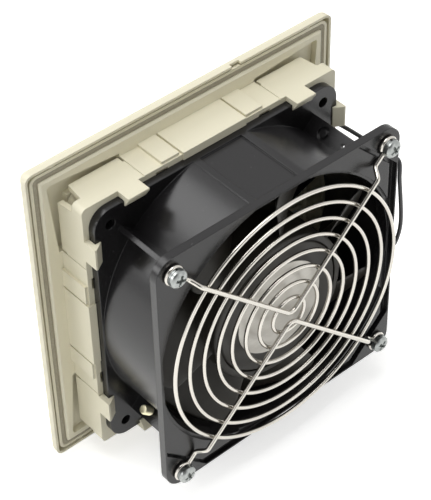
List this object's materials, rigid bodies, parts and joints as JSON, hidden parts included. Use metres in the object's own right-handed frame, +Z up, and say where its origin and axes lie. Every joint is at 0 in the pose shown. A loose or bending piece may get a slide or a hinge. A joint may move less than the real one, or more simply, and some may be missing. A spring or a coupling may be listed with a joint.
{
  "type": "enclosure filter fan",
  "caption": "Square axial fan with wire finger guard, clipped into a panel-mount frame with a pull-off louvred filter cover, earth screw and terminal block.",
  "frame": {"origin": "centre of the fan's axis in the plane of the land that lies on the panel", "axes": "+Y along the fan's axis, from the cover into the enclosure; +X across and +Z up, square to the panel cut-out's sides"},
  "size_m": [0.1484, 0.0667, 0.1484],
  "materials": {
    "frame_plastic": "satin light grey-beige ABS",
    "gasket_foam": "grey sealing foam",
    "filter_fleece": "white synthetic fleece",
    "fan_casting": "semi-gloss black painted die casting",
    "rotor_plastic": "satin black",
    "rotor_aluminium": "die cast",
    "motor_steel": "electrical sheet stack",
    "winding_copper": "enamelled copper wire",
    "bearing_steel": "ground",
    "tube_brass": "turned",
    "disc_foil": "blank matt silver film",
    "guard_wire": "nickel-plated wire",
    "zinc_screw": "blue zinc plate",
    "earth_zinc": "yellow zinc plate",
    "lead_sheath": "satin black PVC",
    "terminal_black": "satin black",
    "block_plastic": "satin off-white polyamide"
  },
  "bodies": {
    "housing": {"base_frame": "frame_plastic", "duct_grid": "frame_plastic", "flange_gasket": "gasket_foam", "filter_mat": "filter_fleece", "fan_frame": "fan_casting", "bearing_tube": "tube_brass", "rear_bearing": "bearing_steel", "front_bearing": "bearing_steel", "stator_core": "motor_steel", "stator_windings": "winding_copper", "guard_rings": "guard_wire", "guard_spokes": "guard_wire", "guard_screws": "zinc_screw", "spring_washers": "zinc_screw", "earth_screw": "earth_zinc", "earth_washer": "earth_zinc", "fan_lead": "lead_sheath", "fan_terminals": "terminal_black", "terminal_block": "block_plastic", "terminal_screws": "tube_brass"},
    "rotor": {"rotor_shaft": "bearing_steel", "rotor_cup": "rotor_plastic", "rotor_ring": "rotor_aluminium", "impeller": "rotor_plastic", "rotor_disc": "disc_foil", "shaft_clip": "bearing_steel"},
    "cover": {"front_cover": "frame_plastic"}
  },
  "joints": [
    {"name": "impeller_spin", "type": "hinge", "parent": "housing", "child": "rotor", "pos_m": [0, 0.03, 0], "axis": [0, 1, 0], "continuous": true},
    {"name": "cover_pull", "type": "slide", "parent": "housing", "child": "cover", "axis": [0, -1, 0], "range_m": [0, 0.012]}
  ]
}
